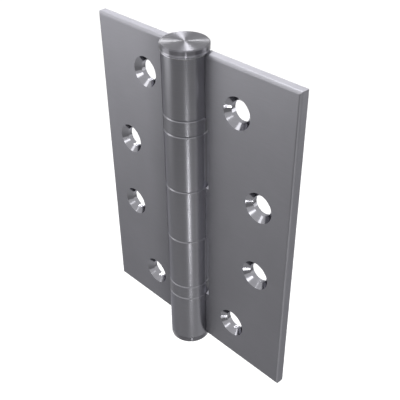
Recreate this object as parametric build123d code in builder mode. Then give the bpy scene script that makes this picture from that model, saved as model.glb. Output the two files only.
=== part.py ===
"""Ball bearing butt hinge, open flat.

The pin axis is Z and the origin is half way up it. Both leaves lie across X, the frame leaf
towards +X and the door leaf towards -X, with their countersunk faces towards -Y.
Sizes are in millimetres.
"""

from build123d import *
from math import asin, atan2, degrees, isclose, sqrt
import os

# Leaves
leaf_height = 102.0
leaf_reach = 38.0
leaf_thickness = 3.0
leaf_offset = 1.0
front_rounding = 0.8
back_break = 0.2

# Screw holes, from the pin axis and from the middle of the leaf
hole_radius = 3.2
countersink_radius = 4.7
countersink_angle = 90.0
end_hole_reach = 18.0
end_hole_height = 38.0
middle_hole_reach = 26.8
middle_hole_height = 12.2

# Barrel
barrel_radius = 6.5
root_fillet = 2.0
seam_gap = 0.1
knuckle_gap = 0.1
upper_break = 0.4
lower_break = 0.1
notch_clearance = 1.2

# Pin and caps
pin_clearance = 0.05
pin_end_gap = 0.2
pin_chamfer = 0.5
button_radius = 6.8
cap_thickness = 2.0
cap_break = 0.3
spigot_length = 5.0
press_clearance = 0.01

# Ball bearings
bearing_height = 5.0
ball_radius = 0.75
ball_count = 8
groove_clearance = 0.03
race_gap = 0.8
race_bore_clearance = 0.1
race_clearance = 0.12
cage_clearance = 0.15
pocket_clearance = 0.05
shroud_wall = 0.35
shroud_lip = 0.5
shroud_end_gap = 0.1

# Worked out from the sizes above
bore_radius = barrel_radius - leaf_thickness
pin_radius = bore_radius - pin_clearance
pin_length = leaf_height - 2 * (spigot_length + pin_end_gap)
notch_reach = barrel_radius + notch_clearance
knuckle_length = (leaf_height - 2 * bearing_height - 2 * knuckle_gap) / 5
end_knuckle_height = (leaf_height - knuckle_length) / 2
door_knuckle_height = knuckle_length + knuckle_gap
bearing_middle = door_knuckle_height + (knuckle_length + bearing_height) / 2

shroud_bore = barrel_radius - shroud_wall
lip_bore = shroud_bore - shroud_lip
lip_top = shroud_end_gap + shroud_wall
race_bore = pin_radius + race_bore_clearance
pitch_radius = (race_bore + shroud_bore) / 2
cage_half_width = (shroud_bore - race_bore) / 2 - cage_clearance
cage_thickness = race_gap - 2 * cage_clearance

os.makedirs("parts", exist_ok=True)


def finish(piece, label):
    """Name a finished piece and write it."""
    piece.part.label = label
    export_step(piece.part, f"parts/{label}.step")


def break_rims(piece):
    """Break the rims on the outside of the barrel, the upper ones more than the lower ones."""
    for way, size in ((1, upper_break), (-1, lower_break)):
        ends = piece.faces().filter_by(lambda face: isclose(face.normal_at().Z, way))
        rims = ends.edges().filter_by(GeomType.CIRCLE)
        chamfer(rims.filter_by(lambda rim: isclose(rim.radius, barrel_radius)), size)


def turn(outline):
    """Revolve a section, drawn as radius and height, about the pin axis."""
    with BuildSketch(Plane.XZ) as section:
        with BuildLine():
            Polyline(*outline, close=True)
        make_face()
    revolve(section.sketch, Axis.Z)


def cut_ball_groove(middle):
    """Cut the round groove that the balls run in."""
    with BuildSketch(Plane.XZ) as groove:
        with Locations((pitch_radius, middle)):
            Circle(ball_radius + groove_clearance)
    revolve(groove.sketch, Axis.Z, mode=Mode.SUBTRACT)


def outer_edges(blank, outward):
    """The edges round the outside of a blank, away from its tabs."""
    return blank.edges().filter_by_position(outward, leaf_reach / 2, 2 * leaf_reach)


def make_leaf(label, base, knuckle_heights):
    """One sheet: a countersunk blank whose tabs are rolled into knuckles round the pin."""
    back = leaf_offset + leaf_thickness
    bend_height = back + root_fillet
    bend_reach = sqrt((barrel_radius + root_fillet) ** 2 - bend_height**2)
    bend_centre = (bend_reach, bend_height)
    bend_angle = degrees(atan2(bend_height, bend_reach))
    seam_angle = degrees(asin((leaf_offset - seam_gap) / barrel_radius))
    roll_angle = 360 + seam_angle - bend_angle
    outward = Axis((0, 0, 0), base.x_dir)
    front = Plane((0, leaf_offset, 0), x_dir=base.x_dir, z_dir=(0, -1, 0))

    with BuildPart() as leaf:
        # Each roll leaves its tab through a bend and closes on the front of the tab at a seam.
        with BuildSketch(*[base.offset(height - knuckle_length / 2) for height in knuckle_heights]):
            with BuildLine():
                Line((bend_reach, leaf_offset), (bend_reach, back))
                CenterArc(bend_centre, root_fillet, 270, bend_angle - 90)
                outside = CenterArc((0, 0), barrel_radius, bend_angle, roll_angle)
                inside = CenterArc((0, 0), bore_radius, bend_angle, roll_angle)
                Line(outside @ 1, inside @ 1)
                CenterArc(bend_centre, root_fillet + leaf_thickness, 180 + bend_angle, 90 - bend_angle)
            make_face()
        extrude(amount=knuckle_length)
        break_rims(leaf)

        # The flat of the blank starts clear of the other leaf's knuckles, with a tab for each
        # of its own. Its outer edges are rounded at the front and nearly sharp at the back.
        with BuildSketch(front):
            with Locations(((notch_reach + leaf_reach) / 2, 0)):
                Rectangle(leaf_reach - notch_reach, leaf_height)
            with Locations(*[((bend_reach + notch_reach) / 2, height) for height in knuckle_heights]):
                Rectangle(notch_reach - bend_reach, knuckle_length)
        blank = extrude(amount=-leaf_thickness, mode=Mode.PRIVATE)
        blank = blank.fillet(front_rounding, outer_edges(blank, outward).group_by(Axis.Y)[0])
        blank = blank.chamfer(back_break, None, outer_edges(blank, outward).group_by(Axis.Y)[-1])
        add(blank)

        with Locations(front):
            with Locations((end_hole_reach, end_hole_height),
                           (end_hole_reach, -end_hole_height),
                           (middle_hole_reach, middle_hole_height),
                           (middle_hole_reach, -middle_hole_height)):
                CounterSinkHole(hole_radius, countersink_radius, leaf_thickness, countersink_angle)
    finish(leaf, label)


# The frame leaf has the end and middle knuckles, and the door leaf the two between them.
make_leaf("frame_leaf", Plane.XY, (-end_knuckle_height, 0, end_knuckle_height))
make_leaf("door_leaf", Plane.XY.rotated((0, 180, 0)), (-door_knuckle_height, door_knuckle_height))

# The pin runs between the spigots of the two caps.
with BuildPart() as hinge_pin:
    Cylinder(pin_radius, pin_length)
    chamfer(hinge_pin.edges().filter_by(GeomType.CIRCLE), pin_chamfer)
finish(hinge_pin, "hinge_pin")

# A cap is a turned button with a spigot that presses into the end knuckle. The top one stands
# a little proud of the barrel, and the bottom one is flush with it.
for label, way, cap_radius in (("top_cap", 1, button_radius), ("bottom_cap", -1, barrel_radius)):
    with BuildPart() as cap:
        seat = Plane((0, 0, way * leaf_height / 2), x_dir=(1, 0, 0), z_dir=(0, 0, way))
        with BuildSketch(seat):
            Circle(cap_radius)
        extrude(amount=cap_thickness)
        with BuildSketch(seat):
            Circle(bore_radius - press_clearance)
        extrude(amount=-spigot_length)
        ends = cap.faces().sort_by(Axis((0, 0, 0), seat.z_dir))
        chamfer(ends[-1].edges(), cap_break)
        ends = cap.faces().sort_by(Axis((0, 0, 0), seat.z_dir))
        chamfer(ends[0].edges(), pin_chamfer)
    finish(cap, label)

# Each bearing is a pair of grooved races with caged balls between them, held by a thin shroud.
for place, middle in (("upper", bearing_middle), ("lower", -bearing_middle)):
    bottom = middle - bearing_height / 2
    top = middle + bearing_height / 2

    # The bottom race is pressed into the shroud and stands on its lower lip.
    with BuildPart() as bottom_race:
        foot_radius = lip_bore - press_clearance
        seat_radius = shroud_bore - press_clearance
        face = middle - race_gap / 2
        turn(((race_bore, bottom), (foot_radius, bottom), (foot_radius, bottom + lip_top),
              (seat_radius, bottom + lip_top), (seat_radius, face), (race_bore, face)))
        cut_ball_groove(middle)
    finish(bottom_race, f"{place}_bottom_race")

    # The top race turns inside the shroud, kept in by its upper lip.
    with BuildPart() as top_race:
        neck_radius = lip_bore - race_clearance
        rim_radius = shroud_bore - race_clearance
        rim_top = top - lip_top - race_clearance
        face = middle + race_gap / 2
        turn(((race_bore, top), (neck_radius, top), (neck_radius, rim_top),
              (rim_radius, rim_top), (rim_radius, face), (race_bore, face)))
        cut_ball_groove(middle)
    finish(top_race, f"{place}_top_race")

    with BuildPart() as shroud:
        turn(((lip_bore, bottom + shroud_end_gap), (barrel_radius, bottom + shroud_end_gap),
              (barrel_radius, top - shroud_end_gap), (lip_bore, top - shroud_end_gap),
              (lip_bore, top - lip_top), (shroud_bore, top - lip_top),
              (shroud_bore, bottom + lip_top), (lip_bore, bottom + lip_top)))
        break_rims(shroud)
    finish(shroud, f"{place}_shroud")

    with BuildPart() as cage:
        with BuildSketch(Plane.XY.offset(middle - cage_thickness / 2)):
            Circle(pitch_radius + cage_half_width)
            Circle(pitch_radius - cage_half_width, mode=Mode.SUBTRACT)
            with PolarLocations(pitch_radius, ball_count):
                Circle(ball_radius + pocket_clearance, mode=Mode.SUBTRACT)
        extrude(amount=cage_thickness)
    finish(cage, f"{place}_cage")

    for number, spot in enumerate(PolarLocations(pitch_radius, ball_count).locations, start=1):
        with BuildPart(Plane.XY.offset(middle)) as ball:
            with Locations(spot):
                Sphere(ball_radius)
        finish(ball, f"{place}_ball_{number}")
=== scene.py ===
import math

import bpy
from mathutils import Matrix, Vector

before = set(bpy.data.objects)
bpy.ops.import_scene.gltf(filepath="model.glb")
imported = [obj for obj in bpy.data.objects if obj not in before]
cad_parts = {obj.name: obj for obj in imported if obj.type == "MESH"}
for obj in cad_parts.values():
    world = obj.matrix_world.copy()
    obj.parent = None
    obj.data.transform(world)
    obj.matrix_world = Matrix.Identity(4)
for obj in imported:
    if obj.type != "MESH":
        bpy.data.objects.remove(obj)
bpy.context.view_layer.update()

scene = bpy.context.scene
scene.view_settings.view_transform = "Standard"

# Places that the finishes follow, in metres. The pin axis is Z, the frame leaf lies towards +X
# and the countersunk fronts of both leaves face -Y.
x_axis, y_axis, z_axis = (1, 0, 0), (0, 1, 0), (0, 0, 1)
barrel_radius = 0.0065
barrel_limit = barrel_radius + 0.0001
tab_root = barrel_radius + 0.00005
tab_end = 0.009
edge_start = barrel_radius + 0.0012
end_hole = (0.018, 0, 0.038)
middle_hole = (0.0268, 0, 0.0122)
countersink_radius = 0.0047
slot_middle = 0.0026
slot_border = (0.0012, 0.0018)
knuckle_rim = 0.05055
cap_rim = (0.05145, 0.05175)

# The leaves and the shrouds share these, as they make up the barrel together
satin_colour = (0.245, 0.2435, 0.263)
# How dark the painted shade is on the barrel in the frame leaf's slots
slot_painted_shade = 0.42
# How strong the painted light is on the barrel before the frame leaf's front
front_painted_light = 0.6

fine_relief = 0.00002


class Shader:
    """A material with a Principled shader, and short ways to add nodes to it."""

    def __init__(self, name, colour, metallic, roughness):
        self.material = bpy.data.materials.new(name)
        self.material.use_nodes = True
        self.tree = self.material.node_tree
        self.surface = self.tree.nodes["Principled BSDF"]
        self.set("Base Color", (*colour, 1))
        self.set("Metallic", metallic)
        self.set("Roughness", roughness)
        self.place = self.add("ShaderNodeTexCoord").outputs["Object"]

    def set(self, name, value):
        """Give one of the shader's own sockets a value or a link."""
        self.put(value, self.surface.inputs[name])

    def add(self, kind, **settings):
        made = self.tree.nodes.new(kind)
        for key, value in settings.items():
            setattr(made, key, value)
        return made

    def put(self, value, socket):
        if isinstance(value, bpy.types.NodeSocket):
            self.tree.links.new(value, socket)
        else:
            socket.default_value = value

    def math(self, operation, *values):
        made = self.add("ShaderNodeMath", operation=operation)
        for value, socket in zip(values, made.inputs):
            self.put(value, socket)
        return made.outputs[0]

    def product(self, first, *others):
        for other in others:
            first = self.math("MULTIPLY", first, other)
        return first

    def total(self, first, *others):
        for other in others:
            first = self.math("ADD", first, other)
        return first

    def less(self, value, limit):
        return self.math("LESS_THAN", value, limit)

    def more(self, value, limit):
        return self.math("GREATER_THAN", value, limit)

    def rest(self, value):
        """What is left of 1."""
        return self.math("SUBTRACT", 1.0, value)

    def vector(self, operation, *values):
        made = self.add("ShaderNodeVectorMath", operation=operation)
        for value, socket in zip(values, made.inputs):
            self.put(value, socket)
        single = operation in ("LENGTH", "DISTANCE", "DOT_PRODUCT")
        return made.outputs["Value" if single else "Vector"]

    def along(self, axis, place):
        return self.vector("DOT_PRODUCT", place, axis)

    def radius(self, place):
        """How far a place is from the pin axis."""
        return self.vector("LENGTH", self.vector("MULTIPLY", place, (1, 1, 0)))

    def facing(self, axis):
        """How squarely the surface faces an axis of its piece either way, from 0 to 1."""
        normal = self.add("ShaderNodeTexCoord").outputs["Normal"]
        return self.math("ABSOLUTE", self.along(axis, normal))

    def span(self, value, low, high, to_low, to_high):
        """The value, carried smoothly from one range to another and held at its ends."""
        made = self.add("ShaderNodeMapRange", interpolation_type="SMOOTHSTEP")
        for part, socket in zip((value, low, high, to_low, to_high), made.inputs):
            self.put(part, socket)
        return made.outputs["Result"]

    def noise(self, scale, detail):
        """Noise from 0 to 1 whose grains are drawn out by the scale along each axis, per metre."""
        made = self.add("ShaderNodeTexNoise")
        self.put(self.vector("MULTIPLY", self.place, scale), made.inputs["Vector"])
        self.put(1.0, made.inputs["Scale"])
        self.put(detail, made.inputs["Detail"])
        return made.outputs["Fac"]

    def vary(self, noise, low, high):
        """Noise, carried from the range that it mostly keeps to, to another."""
        return self.span(noise, 0.25, 0.75, low, high)

    def tint(self, colour, shade):
        """The colour times a shade that varies over the surface."""
        scaled = self.vector("SCALE", colour)
        self.put(shade, scaled.node.inputs["Scale"])
        self.set("Base Color", scaled)

    def relief(self, height, strength):
        made = self.add("ShaderNodeBump")
        self.put(strength, made.inputs["Strength"])
        self.put(fine_relief, made.inputs["Distance"])
        self.put(height, made.inputs["Height"])
        self.set("Normal", made.outputs["Normal"])

    def turned(self, amount):
        """Grain that runs round the pin, so that highlights spread across it."""
        outward = self.vector("NORMALIZE", self.vector("MULTIPLY", self.place, (1, 1, 0)))
        self.set("Anisotropic", amount)
        self.set("Tangent", self.vector("ADD", outward, (0, 0, 0.1)))

    def barrel_painted_shade_and_light(self, painted_shade, painted_light):
        """A factor for the barrel's colour: painted shade, darker in the frame leaf's slots,
        and painted light, lighter before its front.

        It follows places in the room, so it stays with the frame leaf when the door leaf swings.
        """
        place = self.add("ShaderNodeNewGeometry").outputs["Position"]
        behind = self.along(y_axis, place)
        depth = self.math("ABSOLUTE", self.math("SUBTRACT", behind, slot_middle))
        # Painted shade on the barrel in the frame leaf's slots
        inside = self.span(depth, *slot_border, painted_shade, 0.0)
        # Painted light on the barrel before the frame leaf's front, weaker towards the bottom
        before = self.product(self.span(behind, -0.0029, -0.0015, 0.0, painted_light),
                              self.span(depth, *slot_border, 0.0, 1.0),
                              self.span(self.along(z_axis, place), -0.046, -0.034, 0.2, 1.0))
        beside = self.product(self.less(self.radius(place), barrel_limit),
                              self.span(self.along(x_axis, place), 0.0040, 0.0050, 0.0, 1.0))
        return self.total(self.product(self.math("SUBTRACT", before, inside), beside), 1.0)


def leaf_steel():
    """Satin sheet with grain along X and round the barrel, lighter cuts, and painted light and
    shade.
    """
    square = 0.97
    made = Shader("leaf_satin_steel", satin_colour, 1.0, 0.32)
    grain = made.noise((160, 160, 9000), 3.0)
    cloud = made.noise((70, 70, 55), 2.0)
    barrel = made.radius(made.place)
    side = made.along(x_axis, made.place)
    height = made.along(z_axis, made.place)
    flat = made.facing(y_axis)
    level = made.facing(z_axis)

    # The countersinks, from the distance to the nearest hole in either leaf
    across = made.vector("ABSOLUTE", made.vector("MULTIPLY", made.place, (1, 0, 1)))
    reach = made.math("MINIMUM", made.vector("DISTANCE", across, end_hole),
                      made.vector("DISTANCE", across, middle_hole))
    cone = made.product(made.less(reach, countersink_radius), made.less(flat, square))

    # The edges of the sheet, its flats, the tab ends in the slots and the rim under the top cap,
    # where the tab ends and the rim get painted highlights
    cut = made.product(made.span(flat, 0.85, square, 1.0, 0.0), made.more(barrel, edge_start),
                       made.rest(cone))
    sheet = made.product(made.more(flat, square), made.span(barrel, 0.0066, 0.0072, 0.0, 1.0))
    # Painted highlight on the upward tab ends beside the barrel in the slots
    tab_end_painted_highlight = made.product(made.more(level, 0.8), made.less(made.math("ABSOLUTE", height), 0.05),
                       made.more(barrel, tab_root), made.less(barrel, tab_end))
    # Painted highlight on the top knuckle's rim under the top cap
    rim = made.product(made.more(height, knuckle_rim), made.less(barrel, barrel_limit))

    # Painted shadow of the barrel: the door leaf darkens a little towards it
    painted_barrel_shadow = made.product(made.span(side, -0.020, -0.0066, 0.0, 0.3), made.less(side, 0.0), sheet)

    mottle = made.total(made.vary(grain, 0.96, 1.03), made.span(cloud, 0.3, 0.7, -0.02, 0.02))
    # The cut edges are a little lighter, and more so as they face up, which is painted light from
    # above
    cut_tone_and_painted_top_light = made.span(level, 0.3, 0.8, 0.15, 0.7)
    # Lighter countersinks and cuts, and painted highlights on the tab ends and the rim under the
    # top cap
    tone_and_painted_light = made.total(made.product(cone, 0.2), made.product(cut, cut_tone_and_painted_top_light),
                        made.product(tab_end_painted_highlight, 2.2), made.product(rim, 3.0), 1.0)
    # The colour takes the mottle, the painted shade and light on the barrel, the painted shadow
    # beside it and the lighter places
    made.tint(satin_colour, made.product(mottle, made.barrel_painted_shade_and_light(slot_painted_shade, front_painted_light),
                                         made.rest(painted_barrel_shadow), tone_and_painted_light))
    made.set("Roughness", made.total(made.vary(grain, 0.285, 0.305), made.product(sheet, 0.2),
                                     made.product(cut, 0.2), made.product(tab_end_painted_highlight, 0.3),
                                     made.product(cone, -0.14)))
    made.set("Specular Tint", (0.4, 0.4, 0.42, 1))
    made.relief(grain, 0.01)
    return made.material


def turned_steel(name, colour, roughness, polish, streaks, pitch, depth, edge, painted_shade, painted_light, painted_rim_highlight):
    """Turned finish with fine rings round the pin, and painted shade and light on the barrel.

    The sides are smoother than the ends by the polish, the streaks spread highlights across the
    rings, the edge tints glancing reflections, and a painted highlight of the given strength
    brightens the rim under the top cap.
    """
    made = Shader(name, colour, 1.0, roughness)
    rings = made.math("SINE", made.product(made.radius(made.place), 2 * math.pi / pitch))
    grain = made.noise((500, 500, 7000), 2.0)
    side = made.less(made.facing(z_axis), 0.5)
    height = made.along(z_axis, made.place)
    # Painted highlight round the lower edge of the side
    rim = made.product(made.span(height, *cap_rim, painted_rim_highlight, 0.0), side, made.more(height, 0.0))
    mottle = made.total(made.vary(grain, 0.94, 1.05), made.product(rings, 0.02))
    made.tint(colour, made.product(mottle, made.total(rim, 1.0), made.barrel_painted_shade_and_light(painted_shade, painted_light)))
    satin = made.vary(grain, roughness - 0.01, roughness + 0.01)
    made.set("Roughness", made.math("SUBTRACT", satin, made.product(side, polish)))
    made.set("Specular Tint", (edge, edge, edge, 1))
    made.turned(streaks)
    made.relief(made.total(rings, grain), depth)
    return made.material


def ground_steel(name, colour, roughness):
    """Ground or polished steel that is mostly hidden."""
    made = Shader(name, colour, 1.0, roughness)
    grain = made.noise((900, 900, 2600), 2.0)
    made.tint(colour, made.vary(grain, 0.94, 1.04))
    made.set("Roughness", made.vary(grain, roughness - 0.02, roughness + 0.04))
    return made.material


def moulded_nylon():
    """Moulded cage, off white with a faint mottle."""
    colour = (0.78, 0.75, 0.68)
    made = Shader("moulded_nylon", colour, 0.0, 0.5)
    mottle = made.noise((1500, 1500, 1500), 2.0)
    made.tint(colour, made.vary(mottle, 0.94, 1.0))
    made.set("Roughness", made.vary(mottle, 0.45, 0.58))
    return made.material


# The end of a piece's name tells its finish, and the balls, which end in a number, take the last
finishes = {
    "leaf": leaf_steel(),
    # The cap gets a painted highlight round the lower edge of its side
    "cap": turned_steel("turned_cap_steel", (0.18, 0.178, 0.195), 0.34, polish=0.04, streaks=1.0,
                        pitch=0.00022, depth=0.05, edge=1.0, painted_shade=0.0, painted_light=0.0, painted_rim_highlight=0.9),
    # The shrouds take the painted shade in the slots and the painted light before the frame leaf's
    # front
    "shroud": turned_steel("shroud_satin_steel", satin_colour, 0.295, polish=0.0, streaks=0.0,
                           pitch=0.0003, depth=0.001, edge=0.4, painted_shade=slot_painted_shade, painted_light=front_painted_light,
                           painted_rim_highlight=0.0),
    "pin": ground_steel("ground_pin_steel", (0.45, 0.45, 0.45), 0.25),
    "race": ground_steel("race_steel", (0.52, 0.52, 0.52), 0.16),
    "cage": moulded_nylon(),
}
ball_finish = ground_steel("polished_ball_steel", (0.62, 0.62, 0.63), 0.06)
for name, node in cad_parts.items():
    node.data.materials.clear()
    node.data.materials.append(finishes.get(name.split("_")[-1], ball_finish))

# Floor and world, both pale
floor_height = -0.4
bpy.ops.mesh.primitive_plane_add(size=12.0, location=(0, 0, floor_height))
floor = bpy.context.object
floor.name = "floor"
paper = Shader("pale_floor", (0.86, 0.86, 0.86), 0.0, 0.8)
paper.set("Specular IOR Level", 0.0)
floor.data.materials.append(paper.material)

light_level = 0.4
seen_level = 1.0
world = bpy.data.worlds.new("studio")
scene.world = world
world.use_nodes = True
sky = world.node_tree
rays = sky.nodes.new("ShaderNodeLightPath").outputs


def either(first, second):
    made = sky.nodes.new("ShaderNodeMath")
    made.operation = "MAXIMUM"
    sky.links.new(first, made.inputs[0])
    sky.links.new(second, made.inputs[1])
    return made.outputs[0]


# White where the camera, reflections or glass see the world, and softer as a light
seen = either(rays["Is Camera Ray"], either(rays["Is Glossy Ray"], rays["Is Transmission Ray"]))
level = sky.nodes.new("ShaderNodeMapRange")
level.inputs["To Min"].default_value = light_level
level.inputs["To Max"].default_value = seen_level
sky.links.new(seen, level.inputs["Value"])
sky.links.new(level.outputs["Result"], sky.nodes["Background"].inputs["Strength"])
sky.nodes["Background"].inputs["Color"].default_value = (1, 1, 1, 1)


def place_facing(thing, place, right, up, back):
    """Put a thing at a place, turned so that it looks away from its back."""
    turn = Matrix((right, up, back)).transposed().to_4x4()
    thing.matrix_world = Matrix.Translation(place) @ turn
    scene.collection.objects.link(thing)


def softbox(name, place, along, length, width, radiance):
    """A lamp that faces the hinge with an even glow, its length laid along a direction."""
    lamp = bpy.data.lights.new(name, "AREA")
    lamp.shape = "RECTANGLE"
    lamp.size = length
    lamp.size_y = width
    lamp.energy = radiance * math.pi * length * width
    made = bpy.data.objects.new(name, lamp)
    made.visible_camera = False
    back = Vector(place).normalized()
    across = back.cross(Vector(along)).normalized()
    place_facing(made, place, across.cross(back), across, back)


softbox("top_strip", (-0.2247, 0.2598, 0.492), (0.333, -0.222, 0.29), 0.30, 0.05, 16.0)
softbox("back_strip", (-0.487, 0.262, 0.232), (0.167, 0.225, 0.107), 0.22, 0.04, 12.0)
softbox("upper_softbox", (-0.37, -0.29, 0.375), (1, -1, 0), 0.20, 0.20, 2.0)
softbox("fore_softbox", (0.24, -0.49, 0.245), (1, 0, 0), 0.15, 0.15, 3.0)
softbox("over_softbox", (0.088, -0.088, 0.587), (1, 0, 0), 0.25, 0.25, 1.0)
softbox("left_softbox", (-0.381, -0.395, -0.038), (1, -1, 0), 0.40, 0.24, 2.8)
softbox("right_softbox", (0.386, 0.46, 0.0), (1, -1, 0), 0.25, 0.25, 3.0)
softbox("front_lamp", (0.2917, -0.232, -0.2516), (0.6, 0.8, 0), 0.018, 0.10, 23.0)


def floor_spot(name, place, spread, blend, power):
    """A lamp from high above that lights a round patch of the floor, clear of the hinge."""
    lamp = bpy.data.lights.new(name, "SPOT")
    lamp.energy = power
    lamp.spot_size = math.radians(spread)
    lamp.spot_blend = blend
    made = bpy.data.objects.new(name, lamp)
    made.location = place
    scene.collection.objects.link(made)


# The first whitens the floor that the camera sees, the others the floor that the steel reflects
floor_spot("back_spot", (-0.6, 0.6, 2.0), 40.0, 0.37, 200.0)
floor_spot("front_spot", (-0.68, -0.63, 1.2), 31.0, 1.0, 30.0)
floor_spot("right_spot", (0.54, 0.15, 1.2), 44.0, 1.0, 26.0)

# Camera, from the photograph's viewing angle
azimuth, elevation, roll = math.radians(45.589), math.radians(35.579), math.radians(-0.551)
distance = 0.20374
target = Vector((0.00518, 0, 0.00468))
focal_pixels = 687.5
image_pixels = 400
back = Vector((math.sin(azimuth) * math.cos(elevation),
               -math.cos(azimuth) * math.cos(elevation),
               math.sin(elevation)))
right = Vector(z_axis).cross(back).normalized()
up = back.cross(right)
camera = bpy.data.objects.new("camera", bpy.data.cameras.new("camera"))
camera.data.sensor_width = 36.0
camera.data.lens = focal_pixels / image_pixels * camera.data.sensor_width
camera.data.clip_start = 0.01
place_facing(camera, target + back * distance,
             math.cos(roll) * right + math.sin(roll) * up,
             math.cos(roll) * up - math.sin(roll) * right, back)
scene.camera = camera
